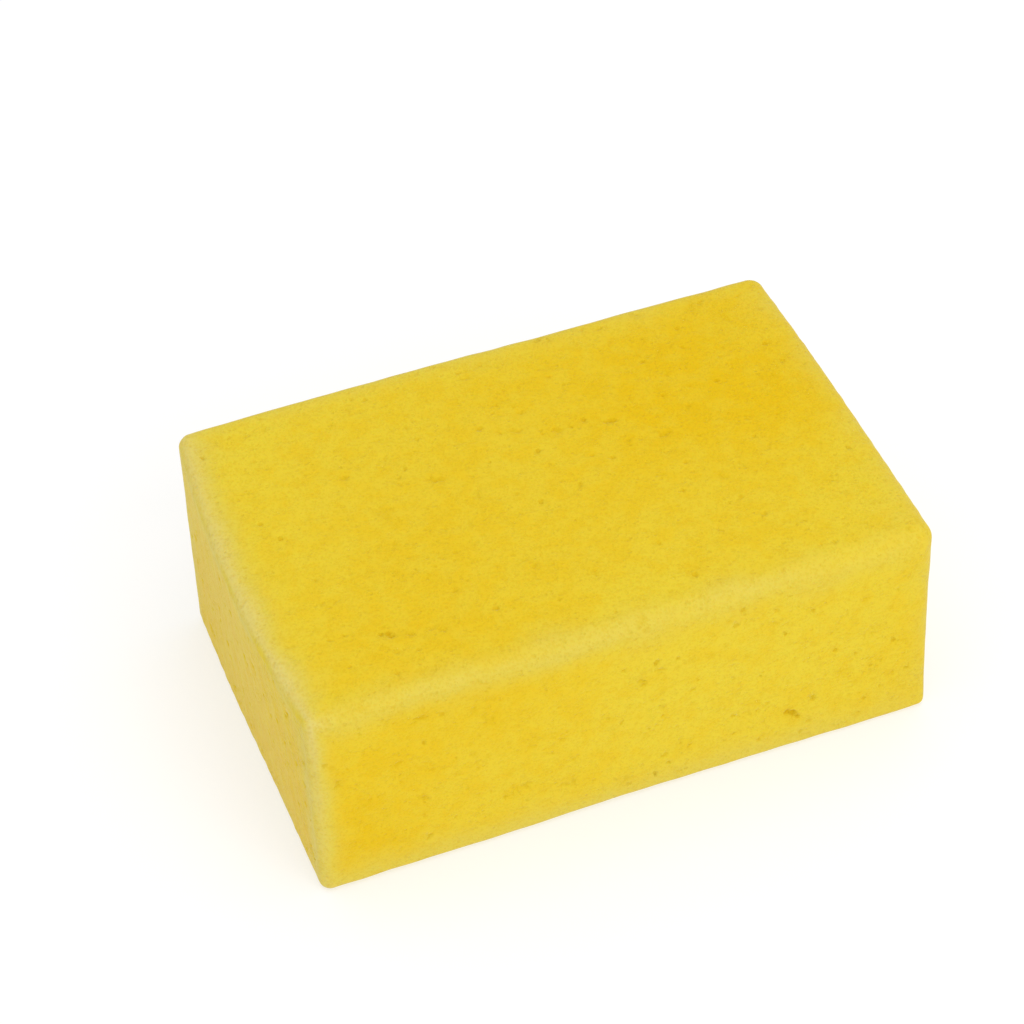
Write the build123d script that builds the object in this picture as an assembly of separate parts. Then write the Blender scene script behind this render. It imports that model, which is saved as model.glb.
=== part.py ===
"""Grouting sponge: one hand-sized block of soft open-cell foam with rounded edges.

Frame, in millimetres: origin at the centre of the bottom face, +X along the length,
+Y along the width, +Z up through the thickness.
"""

from build123d import *
import os

# Driving dimensions of the dry, unsqueezed block.
LENGTH = 165.0
WIDTH = 110.0
THICKNESS = 65.0

# Softness of the edges: the four upright corners are a little rounder than the rims of the
# two large working faces.
CORNER_RADIUS = 4.0
RIM_RADIUS = 3.0


def foam_block():
    """The whole sponge, with one flat working face below and another above."""
    outline = RectangleRounded(LENGTH, WIDTH, CORNER_RADIUS)
    block = extrude(outline, THICKNESS)
    bottom_face, *_, top_face = block.faces().sort_by(Axis.Z)
    return fillet(bottom_face.edges() + top_face.edges(), RIM_RADIUS)


os.makedirs("parts", exist_ok=True)
sponge = foam_block()
sponge.label = "foam_block"
export_step(sponge, "parts/foam_block.step")
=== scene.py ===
"""Grouting sponge: one block of yellow open-cell foam, cut by hand from a bun, with soft pale edges.

The cells that an eye picks out at arm's length are real hollows in the mesh, where the cut faces
pass through them. Finer cells are in the material. Everything is in metres, in the frame of the
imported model, and what is read in millimetres says so.
"""

import math

import bpy
import numpy as np
from mathutils import Matrix, Vector, kdtree


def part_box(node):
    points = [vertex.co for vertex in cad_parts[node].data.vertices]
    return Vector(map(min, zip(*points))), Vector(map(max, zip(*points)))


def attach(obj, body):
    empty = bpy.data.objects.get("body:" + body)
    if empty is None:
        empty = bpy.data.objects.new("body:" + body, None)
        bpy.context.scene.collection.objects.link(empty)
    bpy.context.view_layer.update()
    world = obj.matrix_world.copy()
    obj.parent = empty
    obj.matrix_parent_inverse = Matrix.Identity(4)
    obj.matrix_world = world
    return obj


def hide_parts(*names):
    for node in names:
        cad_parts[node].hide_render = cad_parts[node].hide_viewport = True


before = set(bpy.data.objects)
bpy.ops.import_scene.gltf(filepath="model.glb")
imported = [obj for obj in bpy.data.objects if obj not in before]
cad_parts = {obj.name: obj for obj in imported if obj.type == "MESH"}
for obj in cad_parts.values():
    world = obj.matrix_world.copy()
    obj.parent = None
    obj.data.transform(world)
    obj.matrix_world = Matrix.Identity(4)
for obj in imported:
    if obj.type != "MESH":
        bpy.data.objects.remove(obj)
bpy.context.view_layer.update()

MM = 0.001
BLOCK = "foam_block"
LOW, HIGH = (np.array(corner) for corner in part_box(BLOCK))
CENTRE = (LOW + HIGH) / 2
HALF = (HIGH - LOW) / 2

# The block's mesh.
SPACING = 0.36 * MM
MOST_TRIANGLES = 196_000

# The cut isn't square. A corner is named by its end, its side and its face: how far it sits from
# the square block's corner along X, Y and Z, and the radius of the edges there, in millimetres.
# The moves aren't chosen by hand: they are a scratch program's fit to the photograph's outline,
# rounded. Only the two upper corners on the -Y side were changed after it. The radii were chosen
# after measures of how round the outline's corners are.
CORNERS = {
    (-1, -1, -1): (0.0, 2.4, 0.0, 2.8),
    (-1, -1, 1): (0.1, 0.0, -1.3, 3.8),
    (-1, 1, -1): (0.0, -0.6, 0.0, 3.2),
    (-1, 1, 1): (1.8, 0.0, 0.0, 2.6),
    (1, -1, -1): (0.0, 1.5, 0.0, 2.3),
    (1, -1, 1): (-0.1, 0.0, -1.2, 5.0),
    (1, 1, -1): (0.0, 0.0, 0.0, 3.2),
    (1, 1, 1): (-0.2, -0.3, -0.5, 3.8),
}
# How much the radius swings along an edge, in millimetres, and over what length.
RADIUS_SWING = 0.4
RADIUS_SWING_LENGTH = 60 * MM
# How far a side bulges in its middle, at its top and at its bottom, in millimetres. A side is named
# by its axis, 0 for X and 1 for Y, and its way.
BULGES = {(0, -1): (3.5, 0.4), (0, 1): (0.8, 0.2), (1, 1): (0.35, 0.0)}
# How far the skin sways in and out, over what length, and the seed.
SWAYS = ((0.30 * MM, 80 * MM, 2), (0.07 * MM, 6 * MM, 3))

# The pale skin along the edges is partly rubbed skin and partly a painted highlight: the light that
# the rounded edges scatter and the sheen that they catch. Its usual reach in from an edge, how much
# less that is at the -X end and how much it swings, all in millimetres, over what length it swings,
# and how far that end's own paleness reaches.
PALE_REACH = 6.4
PALE_REACH_LOST = 1.7
PALE_REACH_SWING = 1.6
PALE_REACH_SWING_LENGTH = 20 * MM
END_REACH = 5 * MM
# How pale it is, from 0 to 1, rubbed and with painted highlight: along any edge, and how much more
# at the top of the -X end. The share of that end's paleness that doesn't depend on height, and how
# much of that share its back corner loses. The last is how much of all its paleness the +X end loses.
WEAR_AND_HIGHLIGHT = 0.30
END_WEAR_AND_HIGHLIGHT = 0.68
END_WEAR_AND_HIGHLIGHT_SHARE = 0.42
BACK_LOSS = 0.6
RIGHT_LOSS = 0.5
# How far the paleness strays from that, over what length, and the seed.
WEAR_AND_HIGHLIGHT_STRAYS = ((-0.08, 14 * MM, 6), (0.05, 5 * MM, 7))
# The pale skin along an edge, by the edge's direction: the axis of the face that its middle lies on,
# how far in from the edge that is, in millimetres, and how its reach there and on the other face
# compares with the usual reach.
PALE_BANDS = {0: (1, 0.7, 1.0, 0.85), 1: (2, 1.1, 0.85, 0.75), 2: (1, 0.6, 0.68, 1.3)}

# A painted highlight: the skin is lighter and more lemon near the upper edges, where the light
# brightens. How far in from an upper edge that reaches, how strong it is, and how much of it the +X
# end loses.
RIM_REACH = 11 * MM
RIM_HIGHLIGHT = 0.55
RIM_LOSS = 0.8
# How much the skin swings between warm and lemon, over what length, and the seed.
TONE_SWINGS = ((0.3, 55 * MM, 5),)
# Patches of the skin that are a little warmer, or with a minus sign more lemon, than the rest:
# place from the centre of the base and reach, in millimetres, and strength.
TONES = (
    (48, 22, 65, 40, 1.0), (82, 10, 65, 26, 0.5), (-40, -40, 62, 30, 0.5), (-72, -55, 18, 22, 0.7),
    (-68, 28, 65, 34, -0.7), (60, -55, 38, 45, -0.8), (-10, -58, 25, 42, -0.6),
)

# The dents that stand out on the sides that are seen, in millimetres: place on the face, half length,
# half width and depth, and how far the length is turned from the face's first direction, degrees.
# The left end is seen as well, but no dent is listed for it.
# These aren't chosen by hand either: the places, sizes and turns of all but two come from a scratch
# program that looks for dark spots in the photograph, rounded, some of them moved by 1 mm. The depths
# were given one by one.
SEEN_DENTS = {
    "top": (
        (-54, -34, 2.5, 0.9, 0.95, -40), (-49, -36, 1.5, 0.9, 0.5, -20), (-42, -37, 2.6, 1.6, 0.45, -10),
        (23, 15, 1.8, 0.9, 0.8, -15), (-46, 22, 1.2, 1.0, 0.6, 0), (34, 5, 2.0, 1.3, 0.6, -10),
        (-25, 12, 2.2, 1.0, 0.6, -20), (0, 21, 1.6, 0.9, 0.5, -10), (9, 17, 1.6, 1.2, 0.5, -30),
        (3, 27, 1.6, 1.0, 0.45, -20), (-6, 45, 1.6, 0.9, 0.5, 0), (73, 19, 1.4, 0.9, 0.45, 70),
    ),
    "front": (
        (44, 13, 3.0, 1.3, 1.2, -50), (-54, 55, 2.2, 1.2, 0.6, -5), (-76, 40, 2.2, 1.6, 0.5, 100),
        (3, 43, 2.2, 1.2, 0.6, 100), (8, 46, 1.5, 1.0, 0.45, -10), (-17, 13, 3.0, 2.2, 0.4, 0),
        (-28, 18, 1.8, 1.3, 0.45, -10), (-41, 52, 1.7, 1.3, 0.45, 60), (-61, 41, 1.3, 1.0, 0.45, 0),
    ),
    "left": (),
}
# The dents strewn over every side, in millimetres: the area for each, the half lengths, the half
# widths as shares of those, the depth of the shallowest, and of the deepest where the side is seen and
# where it isn't. The last is how much of a side they are strewn over.
AREA_PER_DENT = 600
HALF_LENGTHS = (1.1, 2.8)
WIDTH_SHARES = (0.4, 0.8)
SHALLOWEST = 0.3
DEEPEST_SEEN = 0.35
DEEPEST_UNSEEN = 1.0
STREWN_SHARE = 0.92
# A dent's soft bowl: its depth as a share of the dent's, and how far it passes the dent's half length
# and half width, in millimetres. Nothing further from a dent than its margin is touched by it.
BOWL_DEPTH = 0.35
BOWL_PAST_LENGTH = 0.4
BOWL_PAST_WIDTH = 0.5
DENT_MARGIN = 3

# The cells near the skin that the cut opens, and how far they are from round, over what length.
CELLS = 900
CELL_RADII = (0.4 * MM, 0.85 * MM)
WARP = 0.25 * MM
WARP_LENGTH = 1.8 * MM
WARP_SEED = 10
CELLS_SEED = 20

# Colours of the foam, linear: plain; a little pale and fully pale along the edges, rubbed skin with a
# painted highlight; and the painted shade down in its hollows.
WARM = (0.776, 0.506, 0.007, 1)
LEMON = (0.773, 0.598, 0.038, 1)
EDGE = (0.728, 0.577, 0.072, 1)
PALE = (0.735, 0.606, 0.168, 1)
HOLLOW_SHADE = (0.640, 0.410, 0.001, 1)
# How pale the edges are, rubbed and with painted highlight, where their colour is EDGE.
EDGE_WEAR_AND_HIGHLIGHT = 0.3

# The finer cells in the material: how far apart they are, and how wide the widest is for that.
COARSE_PORES = (1.4 * MM, 0.60)
FINE_PORES = (0.75 * MM, 0.85)
SOFT_SPOTS = (4.5 * MM, 0.36)
# Painted shade in the cells and hollows: how far each turns the colour towards the shade colour, and
# how far a hollow does, for each millimetre of depth.
COARSE_PORE_SHADE = 0.18
FINE_PORE_SHADE = 0.20
SOFT_SPOT_SHADE = 0.24
DEPTH_SHADE = 0.7
# In the relief, how deep the fine cells and how high the grain are, where the coarse cells are 1 deep.
FINE_RELIEF = 0.5
GRAIN_RELIEF = 0.5
# The sizes of the noise in the material.
GRAIN = 0.22 * MM
CLUMP = 2 * MM
MOTTLE = 2.6 * MM
ZONE = 22 * MM

# The flat layout of the sides for baked maps: how wide it is, and the gap between two sides.
LAYOUT = 0.302
GAP = 3 * MM

# The camera, and how far aside and above the block's centre the point that it looks at is. These
# are rounded from the same fit to the photograph's outline as CORNERS.
CAMERA_AZIMUTH = math.radians(-18.6)
CAMERA_ELEVATION = math.radians(43.4)
CAMERA_ROLL = math.radians(-3.5)
CAMERA_DISTANCE = 0.870
CAMERA_ASIDE = -10.0 * MM
CAMERA_ABOVE = 15.6 * MM
LENS_MM = 118.4
SENSOR_MM = 36

# The studio. The floor gives off some light, so that the block leaves little shade on it.
FLOOR_REACH = 6.0
FLOOR_COLOUR = (0.50, 0.50, 0.50, 1)
FLOOR_GLOW = 0.53
SURROUND_LIGHT = 0.745
WHITE = (1, 1, 1, 1)


# ---------------------------------------------------------------- the block's surface

def lattice_box(spacing):
    """The surface of the box as quads on a lattice, welded: points from the box's centre, and quads."""
    counts = np.maximum(2, np.round(2 * HALF / spacing).astype(int))
    ring = ((0, 0), (1, 0), (1, 1), (0, 1))
    quads = []
    for axis, (a, b) in enumerate(((1, 2), (2, 0), (0, 1))):
        u, v = (g.ravel() for g in np.meshgrid(np.arange(counts[a]), np.arange(counts[b]), indexing="ij"))
        for end in (0, counts[axis]):
            quad = np.zeros((len(u), 4, 3), int)
            for k, (du, dv) in enumerate(ring if end else reversed(ring)):
                quad[:, k, axis] = end
                quad[:, k, a] = u + du
                quad[:, k, b] = v + dv
            quads.append(quad)
    corners = np.concatenate(quads).reshape(-1, 3)
    size = counts + 1
    key = (corners[:, 0] * size[1] + corners[:, 1]) * size[2] + corners[:, 2]
    _, first, index = np.unique(key, return_index=True, return_inverse=True)
    points = (corners[first] / counts * 2 - 1) * HALF
    return points, index.reshape(-1, 4)


def wave(points, length, seed):
    """A smooth random field, mostly from -1 to 1: sine waves of about that length in random directions."""
    rng = np.random.default_rng(seed)
    total = np.zeros(len(points))
    count = 6
    for _ in range(count):
        way = rng.normal(size=3)
        way *= 2 * math.pi / (length * rng.uniform(0.7, 1.4)) / np.linalg.norm(way)
        total += np.sin(points @ way + rng.uniform(0, 2 * math.pi))
    return total / math.sqrt(count) * 0.7


def waves(points, rows):
    """The sum of some such fields, from the strength, length and seed of each."""
    return sum(strength * wave(points, length, seed) for strength, length, seed in rows)


def between_corners(points):
    """What CORNERS gives at each point, blended from the block's eight corners."""
    share = np.clip(points / HALF, -1, 1)
    blended = np.zeros((len(points), 4))
    for corner, values in CORNERS.items():
        weight = np.prod((1 + share * np.array(corner)) / 2, axis=1)
        blended += weight[:, None] * np.array(values)
    return blended


def rounded_block(box_points):
    """Points of the box carried onto the soft-edged block, with the outward normals there."""
    swing = RADIUS_SWING * wave(box_points, RADIUS_SWING_LENGTH, 1)
    radius = (between_corners(box_points)[:, 3] + swing)[:, None] * MM
    core = np.clip(box_points, -(HALF - radius), HALF - radius)
    normals = box_points - core
    normals /= np.linalg.norm(normals, axis=1)[:, None]
    return core + radius * normals, normals


def hand_cut(points):
    """How far the uneven cut moves each point of the square block."""
    moves = between_corners(points)[:, :3] * MM
    share = np.clip(points / HALF, -1, 1)
    height = (1 + share[:, 2]) / 2
    for (axis, way), (top, bottom) in BULGES.items():
        bulge = (bottom + (top - bottom) * height) * MM
        nearness = ((1 + way * share[:, axis]) / 2) ** 4
        moves[:, axis] += way * bulge * nearness * (1 - share[:, 1 - axis] ** 2)
    return moves


def right_end(points):
    """1 at the +X end, falling to nothing along the block."""
    return np.clip((1 + points[:, 0] / HALF[0]) / 2, 0, 1) ** 8


def pale_bands(depths, reach):
    """1 along the middle of the pale skin of each edge, falling to nothing over its reach."""
    bands = np.zeros(len(depths))
    for axis, (side, lean, near_share, far_share) in PALE_BANDS.items():
        other = 3 - axis - side
        past = depths[:, other] - depths[:, side] - lean * MM
        beyond = np.minimum(depths[:, other], depths[:, side])
        spread = reach * np.where(past > 0, near_share, far_share)
        bands = np.maximum(bands, np.exp(-(past ** 2 + beyond ** 2) / spread ** 2))
    return bands


def wear_and_highlight(box_points):
    """How pale the skin is along the edges, from rubbing and a painted highlight: most along the edges of
    the -X end, less along the others.
    """
    _, back, height = (1 + box_points.T / HALF[:, None]) / 2
    end = np.exp(-((box_points[:, 0] + HALF[0]) / END_REACH) ** 2)
    swing = PALE_REACH_SWING * wave(box_points, PALE_REACH_SWING_LENGTH, 4)
    reach = (PALE_REACH - PALE_REACH_LOST * end + swing) * MM
    end *= END_WEAR_AND_HIGHLIGHT_SHARE * (1 - BACK_LOSS * back ** 2) + (1 - END_WEAR_AND_HIGHLIGHT_SHARE) * height ** 3
    most = WEAR_AND_HIGHLIGHT + END_WEAR_AND_HIGHLIGHT * end + waves(box_points, WEAR_AND_HIGHLIGHT_STRAYS)
    most *= 1 - RIGHT_LOSS * right_end(box_points)
    return np.clip(most * pale_bands(HALF - np.abs(box_points), reach), 0, 1)


def tone_and_rim_highlight(points):
    """How warm, above 0.5, or lemon, below it, the foam is at each point, with a painted highlight at its
    upper edges.
    """
    in_from_edge = np.sort(HALF - np.abs(points), axis=1)[:, 1]
    high = np.clip((1 + points[:, 2] / HALF[2]) / 2, 0, 1) ** 2 * (1 - RIM_LOSS * right_end(points))
    total = waves(points, TONE_SWINGS)
    # Painted highlight: lighter and more lemon along the upper edges.
    total -= RIM_HIGHLIGHT * high * np.exp(-(in_from_edge / RIM_REACH) ** 2)
    spots = points / MM + (0, 0, HALF[2] / MM)
    for x, y, z, reach, strength in TONES:
        away2 = ((spots - (x, y, z)) ** 2).sum(axis=1)
        total += strength * np.exp(-away2 / reach ** 2)
    return np.clip(0.5 + 0.5 * total, 0, 1)


# ---------------------------------------------------------------- the hollows in the skin

def faces():
    """Each side of the block: the point its places are counted from, its two directions and its normal."""
    x, y, z = np.eye(3)
    base = -z * HALF[2]
    return {
        "top": (-base, x, y, z),
        "bottom": (base, x, y, -z),
        "front": (base - y * HALF[1], x, z, -y),
        "back": (base + y * HALF[1], x, z, y),
        "left": (base - x * HALF[0], y, z, -x),
        "right": (base + x * HALF[0], y, z, x),
    }


def random_dents(rng, face, deepest):
    """Dents strewn over a side, the deepest of them that deep, in millimetres."""
    _, across, along, _ = faces()[face]
    width, height = 2 * abs(across @ HALF) / MM, 2 * abs(along @ HALF) / MM
    dents = []
    for _ in range(round(width * height / AREA_PER_DENT)):
        half_length = rng.uniform(*HALF_LENGTHS)
        place = rng.uniform(-STREWN_SHARE / 2, STREWN_SHARE / 2, 2) * (width, height)
        if along[2]:
            place[1] += height / 2
        half_width = half_length * rng.uniform(*WIDTH_SHARES)
        depth = SHALLOWEST + (deepest - SHALLOWEST) * rng.random() ** 4
        dents.append((*place, half_length, half_width, depth, rng.uniform(0, 180)))
    return dents


def torn_cells(ahead, beside, half_length, half_width, most, rng):
    """How deep a dent's torn cells are, in millimetres. They stand in a chain, the deepest in its middle."""
    torn = np.zeros(len(ahead))
    count = 2 + round(1.6 * half_length / half_width)
    for k in range(count):
        out = ((k + rng.random()) / count * 2 - 1) * 0.85
        lengthwise = out * half_length
        crosswise = rng.uniform(-0.6, 0.6) * math.sqrt(1 - out ** 2) * half_width
        deepest = 0.8 * most * (1 - 0.5 * out ** 2) * rng.uniform(0.7, 1.0)
        radius = max(half_width * rng.uniform(0.5, 0.9), deepest)
        away2 = (ahead - lengthwise) ** 2 + (beside - crosswise) ** 2
        torn = np.maximum(torn, np.sqrt(np.maximum(radius ** 2 - away2, 0)) - (radius - deepest))
    return torn


def dented(points, face, dents, rng):
    """How deep the dents of one side leave each point: a few cells torn open together, in a soft bowl."""
    origin, across, along, normal = faces()[face]
    away = points - origin
    a, b, below = away @ across / MM, away @ along / MM, -(away @ normal) / MM
    depth = np.zeros(len(points))
    for x, y, half_length, half_width, most, turn in dents:
        cos, sin = math.cos(math.radians(turn)), math.sin(math.radians(turn))
        touched = (np.hypot(a - x, b - y) < 2 * half_length + DENT_MARGIN) & (below < DENT_MARGIN)
        near = np.nonzero(touched)[0]
        ahead = (a[near] - x) * cos + (b[near] - y) * sin
        beside = (b[near] - y) * cos - (a[near] - x) * sin
        out_ahead = ahead / (half_length + BOWL_PAST_LENGTH)
        out_beside = beside / (half_width + BOWL_PAST_WIDTH)
        bowl = BOWL_DEPTH * most * np.exp(-out_ahead ** 2 - out_beside ** 2)
        torn = torn_cells(ahead, beside, half_length, half_width, most, rng)
        depth[near] = np.maximum(depth[near], bowl + torn)
    return depth * MM


def random_cells(rng):
    """Hollow cells near the block's skin: centres and radii, with some run together in twos and threes."""
    areas = np.array([HALF[1] * HALF[2], HALF[2] * HALF[0], HALF[0] * HALF[1]])
    low, high = CELL_RADII
    cells = []
    for _ in range(CELLS):
        axis = rng.choice(3, p=areas / areas.sum())
        at = rng.uniform(-1, 1, 3) * HALF
        radius = low + (high - low) * rng.random() ** 2
        at[axis] = rng.choice((-1, 1)) * (HALF[axis] - radius * rng.uniform(-0.6, 0.2))
        for _ in range(rng.integers(1, 4)):
            cells.append((at.copy(), radius))
            at = at + rng.normal(size=3) * radius * 0.7
            radius *= rng.uniform(0.6, 0.9)
    return cells


def opened(points, normals, cells):
    """How deep the cut leaves each point of the skin in the cells that it opens."""
    tree = kdtree.KDTree(len(points))
    for k, point in enumerate(points.tolist()):
        tree.insert(point, k)
    tree.balance()
    depth = np.zeros(len(points))
    for centre, radius in cells:
        near = [k for _, k, _ in tree.find_range(centre, radius)]
        if not near:
            continue
        away = centre - points[near]
        inward = -np.einsum("ij,ij->i", away, normals[near])
        across2 = np.einsum("ij,ij->i", away, away) - inward ** 2
        reach = np.sqrt(np.maximum(radius ** 2 - across2, 0))
        far = np.maximum(inward + reach, 0)
        depth[near] = np.maximum(depth[near], radius * (1 - np.exp(-far / radius)))
    return depth


def hollows(points, normals):
    """How deep every dent and opened cell leaves each point of the skin."""
    warp = np.stack([wave(points, WARP_LENGTH, WARP_SEED + k) for k in range(3)], 1)
    warped = points + warp * WARP
    rng = np.random.default_rng(CELLS_SEED)
    depth = opened(warped, normals, random_cells(rng))
    for face in faces():
        deepest = DEEPEST_SEEN if face in SEEN_DENTS else DEEPEST_UNSEEN
        dents = [*SEEN_DENTS.get(face, ()), *random_dents(rng, face, deepest)]
        depth = np.maximum(depth, dented(warped, face, dents, rng))
    return depth


def foam_mesh():
    """The block's mesh: rounded, a little uneven, and pitted by the cells that its faces cut through."""
    box_points, quads = lattice_box(SPACING)
    points, normals = rounded_block(box_points)
    depth = hollows(points, normals)
    sway = waves(points, SWAYS)
    placed = points + hand_cut(box_points) + normals * (sway - depth)[:, None] + CENTRE
    placed[:, 2] = np.maximum(placed[:, 2], LOW[2])

    mesh = bpy.data.meshes.new("foam_sponge")
    mesh.from_pydata(placed.tolist(), [], quads.tolist())
    for name, values in (("depth", depth / MM), ("wear_and_highlight", wear_and_highlight(box_points)), ("tone_and_rim_highlight", tone_and_rim_highlight(points))):
        mesh.attributes.new(name, "FLOAT", "POINT").data.foreach_set("value", values)
    mesh.polygons.foreach_set("use_smooth", np.ones(len(quads), bool))
    mesh.update()
    return mesh


def thinned(piece):
    """Gives the piece a mesh with fewer, larger faces where it is flat."""
    triangles = 2 * len(piece.data.polygons)
    if triangles <= MOST_TRIANGLES:
        return
    thin = piece.modifiers.new("thin", "DECIMATE")
    thin.ratio = MOST_TRIANGLES / triangles
    depsgraph = bpy.context.evaluated_depsgraph_get()
    made = bpy.data.meshes.new_from_object(piece.evaluated_get(depsgraph))
    piece.modifiers.clear()
    piece.data = made


# ---------------------------------------------------------------- the flat layout of the sides

def mesh_values(items, name, width, kind):
    """One value, or width of them, read from each of a mesh's items."""
    values = np.zeros(len(items) * width, kind)
    items.foreach_get(name, values)
    return values.reshape(-1, width) if width > 1 else values


def unwrap(mesh):
    """A flat layout of the block's six sides, each seen square on, for the maps made from its material."""
    length, width, height = 2 * HALF
    # Each side, by its axis and way: where its lower corner lies, and whether it is turned on its side.
    places = {
        (2, 1): (GAP, GAP, False),
        (2, -1): (GAP, 2 * GAP + width, False),
        (1, 1): (2 * GAP + length, GAP, True),
        (1, -1): (3 * GAP + length + height, GAP, True),
        (0, 1): (GAP, 3 * GAP + 2 * width, False),
        (0, -1): (2 * GAP + width, 3 * GAP + 2 * width, False),
    }
    points = mesh_values(mesh.vertices, "co", 3, float) - CENTRE
    middles = mesh_values(mesh.polygons, "center", 3, float) - CENTRE
    axis = np.argmin(HALF - np.abs(middles), axis=1)
    way = np.where(np.take_along_axis(middles, axis[:, None], 1)[:, 0] > 0, 1, -1)
    corners = mesh_values(mesh.polygons, "loop_total", 1, int)
    loop_axis, loop_way = np.repeat(axis, corners), np.repeat(way, corners)
    at = points[mesh_values(mesh.loops, "vertex_index", 1, int)] + HALF
    uv = np.zeros((len(at), 2))
    for (side_axis, side_way), (u, v, turned) in places.items():
        here = (loop_axis == side_axis) & (loop_way == side_way)
        a, b = {0: (1, 2), 1: (0, 2), 2: (0, 1)}[side_axis]
        across, along = at[here, a], at[here, b]
        if turned:
            across, along = along, across
        uv[here] = np.stack([u + across, v + along], 1) / LAYOUT
    mesh.uv_layers.new(name="OFBake").data.foreach_set("uv", uv.ravel())


# ---------------------------------------------------------------- the material

def put(tree, node, sockets):
    """Sets a node's inputs to values, or links them to other nodes' outputs."""
    for name, value in sockets.items():
        if isinstance(value, bpy.types.NodeSocket):
            tree.links.new(value, node.inputs[name])
        else:
            node.inputs[name].default_value = value


def add(tree, kind, sockets, **settings):
    """A node of that kind, with its inputs and its settings."""
    made = tree.nodes.new(kind)
    for name, value in settings.items():
        setattr(made, name, value)
    put(tree, made, sockets)
    return made


def mixed(tree, share, first, second):
    """The colour first turning into second by share."""
    return add(tree, "ShaderNodeMix", {0: share, 6: first, 7: second}, data_type="RGBA").outputs[2]


def arithmetic(tree, operation, *values):
    """The result of one step of arithmetic."""
    return add(tree, "ShaderNodeMath", dict(enumerate(values)), operation=operation).outputs[0]


def ramp(tree, value, low, high, to_low=0.0, to_high=1.0):
    """value carried from low..high to to_low..to_high, smoothly and clamped."""
    return add(tree, "ShaderNodeMapRange", {
        "Value": value, "From Min": low, "From Max": high, "To Min": to_low, "To Max": to_high,
    }, interpolation_type="SMOOTHSTEP").outputs[0]


def noise(tree, place, size, detail):
    """Soft random noise from 0 to 1 whose blotches are about that size."""
    sockets = {"Vector": place, "Scale": 0.5 / size, "Detail": detail}
    return add(tree, "ShaderNodeTexNoise", sockets).outputs[0]


def pores(tree, place, pitch, widest):
    """1 in the fine cells that the skin cuts open, 0 between them; the widest is that share of the pitch."""
    cells = add(tree, "ShaderNodeTexVoronoi", {"Vector": place, "Scale": 1 / pitch}, feature="F1")
    size = add(tree, "ShaderNodeSeparateColor", {"Color": cells.outputs["Color"]}).outputs[0]
    rim = ramp(tree, size, 0.0, 1.0, widest * 0.45, widest)
    heart = arithmetic(tree, "MULTIPLY", rim, 0.3)
    return ramp(tree, cells.outputs["Distance"], heart, rim, 1.0, 0.0)


def foam_material():
    """Mottled yellow foam, pale along its edges from rubbing and a painted highlight, with painted shade in
    its cells and hollows, and fine cells in its relief.
    """
    material = bpy.data.materials.new("yellow_foam")
    material.use_nodes = True
    tree = material.node_tree
    place = add(tree, "ShaderNodeTexCoord", {}).outputs["Object"]
    depth, wear_and_highlight_share, warmth_and_rim_highlight = (
        add(tree, "ShaderNodeAttribute", {}, attribute_name=name).outputs["Fac"]
        for name in ("depth", "wear_and_highlight", "tone_and_rim_highlight")
    )

    coarse = pores(tree, place, *COARSE_PORES)
    fine = pores(tree, place, *FINE_PORES)
    grain = noise(tree, place, GRAIN, 2)
    clumps = ramp(tree, noise(tree, place, CLUMP, 1), 0.38, 0.64)
    mottle = noise(tree, place, MOTTLE, 3)
    zones = ramp(tree, noise(tree, place, ZONE, 1), 0.40, 0.60)
    soft = arithmetic(tree, "MULTIPLY", pores(tree, place, *SOFT_SPOTS), zones)
    clumped = arithmetic(tree, "MULTIPLY", coarse, clumps)

    # The foam's own warm and lemon colour, with the painted highlight along its upper edges.
    colour = mixed(tree, warmth_and_rim_highlight, LEMON, WARM)
    colour = mixed(tree, ramp(tree, mottle, 0.40, 0.68, 0.0, 0.36), colour, WARM)
    colour = mixed(tree, ramp(tree, mottle, 0.32, 0.60, 0.28, 0.0), colour, LEMON)
    # Pale edges: partly rubbed skin, partly a painted highlight of the light that the edges scatter.
    colour = mixed(tree, arithmetic(tree, "DIVIDE", wear_and_highlight_share, EDGE_WEAR_AND_HIGHLIGHT), colour, EDGE)
    past_edge = arithmetic(tree, "DIVIDE", arithmetic(tree, "SUBTRACT", wear_and_highlight_share, EDGE_WEAR_AND_HIGHLIGHT), 1 - EDGE_WEAR_AND_HIGHLIGHT)
    colour = mixed(tree, past_edge, colour, PALE)
    # Painted shade: the colour darkened in the fine cells, and more in the deeper hollows, where shade
    # falls.
    for hollow, shade_share in (
        (soft, SOFT_SPOT_SHADE), (fine, FINE_PORE_SHADE), (clumped, COARSE_PORE_SHADE), (depth, DEPTH_SHADE),
    ):
        colour = mixed(tree, arithmetic(tree, "MULTIPLY", hollow, shade_share), colour, HOLLOW_SHADE)

    height = arithmetic(tree, "MULTIPLY", clumped, -1.0)
    height = arithmetic(tree, "SUBTRACT", height, arithmetic(tree, "MULTIPLY", fine, FINE_RELIEF))
    height = arithmetic(tree, "ADD", height, arithmetic(tree, "MULTIPLY", grain, GRAIN_RELIEF))
    bump = add(tree, "ShaderNodeBump", {"Height": height, "Strength": 0.55, "Distance": 0.25 * MM})

    put(tree, tree.nodes["Principled BSDF"], {
        "Base Color": colour,
        "Normal": bump.outputs[0],
        "Roughness": 1.0,
        "Specular IOR Level": 0.12,
        "Sheen Weight": 0.25,
        "Sheen Roughness": 0.3,
        "Subsurface Weight": 0.15,
        "Subsurface Radius": (1.0, 0.65, 0.2),
        "Subsurface Scale": 1.5 * MM,
    })
    return material


def foam_sponge():
    """The sponge: one piece, which stands for the CAD block."""
    piece = bpy.data.objects.new("foam_sponge", foam_mesh())
    bpy.context.scene.collection.objects.link(piece)
    thinned(piece)
    unwrap(piece.data)
    piece.data.materials.clear()
    piece.data.materials.append(foam_material())
    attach(piece, "root")
    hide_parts(BLOCK)


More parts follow.
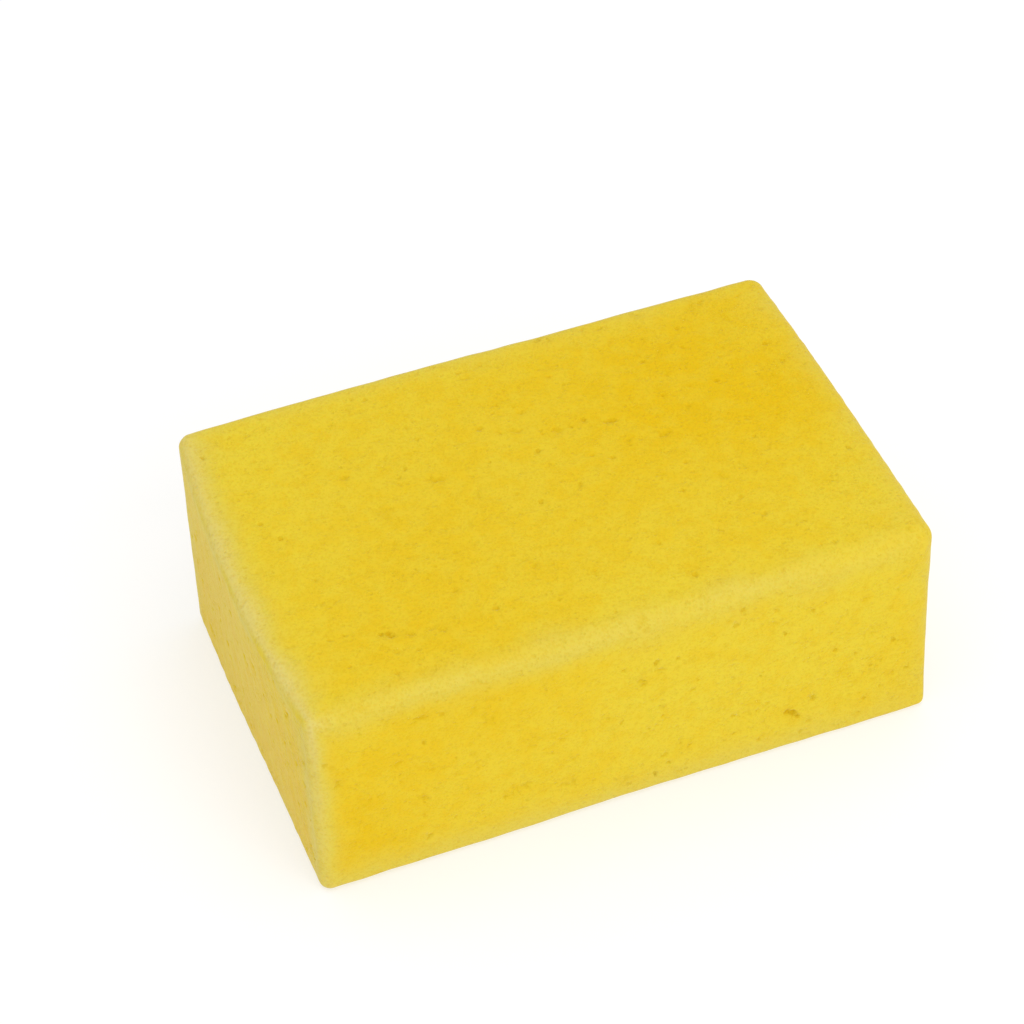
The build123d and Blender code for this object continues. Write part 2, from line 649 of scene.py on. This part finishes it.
# ---------------------------------------------------------------- the studio

def floor():
    """A plain white floor under the block."""
    material = bpy.data.materials.new("pale_floor")
    material.use_nodes = True
    put(material.node_tree, material.node_tree.nodes["Principled BSDF"], {
        "Base Color": FLOOR_COLOUR,
        "Roughness": 0.9,
        "Specular IOR Level": 0.1,
        "Emission Color": WHITE,
        "Emission Strength": FLOOR_GLOW,
    })
    ring = ((-1, -1), (1, -1), (1, 1), (-1, 1))
    mesh = bpy.data.meshes.new("floor")
    mesh.from_pydata([(x * FLOOR_REACH, y * FLOOR_REACH, LOW[2]) for x, y in ring], [], [(0, 1, 2, 3)])
    mesh.materials.append(material)
    piece = bpy.data.objects.new("floor", mesh)
    bpy.context.scene.collection.objects.link(piece)


def direction(azimuth, elevation):
    """The way from the block towards a place round it, in radians. Azimuth 0 is in front, on the -Y side."""
    level = math.cos(elevation)
    return Vector((math.sin(azimuth) * level, -math.cos(azimuth) * level, math.sin(elevation)))


def softbox(name, azimuth, elevation, distance, size, power):
    """A square light that faces the block, with its place in degrees and metres and its power in watts."""
    light = bpy.data.lights.new(name, "AREA")
    light.shape = "SQUARE"
    light.size = size
    light.energy = power
    way = direction(math.radians(azimuth), math.radians(elevation))
    piece = bpy.data.objects.new(name, light)
    piece.location = Vector(CENTRE) + way * distance
    piece.rotation_euler = way.to_track_quat("Z", "Y").to_euler()
    bpy.context.scene.collection.objects.link(piece)


def studio():
    """The floor, even light from all round, and two softboxes."""
    floor()
    world = bpy.data.worlds.new("studio")
    world.use_nodes = True
    put(world.node_tree, world.node_tree.nodes["Background"], {"Color": WHITE, "Strength": SURROUND_LIGHT})
    bpy.context.scene.world = world
    softbox("key", azimuth=10, elevation=38, distance=1.4, size=0.9, power=5.0)
    softbox("overhead", azimuth=0, elevation=88, distance=1.5, size=1.2, power=4.9)
    bpy.context.scene.view_settings.view_transform = "Standard"


def camera():
    """The camera in front of the block, to its left and above it, rolled a little."""
    back = direction(CAMERA_AZIMUTH, CAMERA_ELEVATION)
    level = Vector((math.cos(CAMERA_AZIMUTH), math.sin(CAMERA_AZIMUTH), 0))
    upright = back.cross(level)
    right = level * math.cos(CAMERA_ROLL) + upright * math.sin(CAMERA_ROLL)
    up = upright * math.cos(CAMERA_ROLL) - level * math.sin(CAMERA_ROLL)
    view = bpy.data.cameras.new("camera")
    view.lens = LENS_MM
    view.sensor_width = SENSOR_MM
    piece = bpy.data.objects.new("camera", view)
    place = Vector(CENTRE) + back * CAMERA_DISTANCE + right * CAMERA_ASIDE + up * CAMERA_ABOVE
    piece.matrix_world = Matrix.Translation(place) @ Matrix((right, up, back)).transposed().to_4x4()
    bpy.context.scene.collection.objects.link(piece)
    bpy.context.scene.camera = piece


camera()
studio()
foam_sponge()
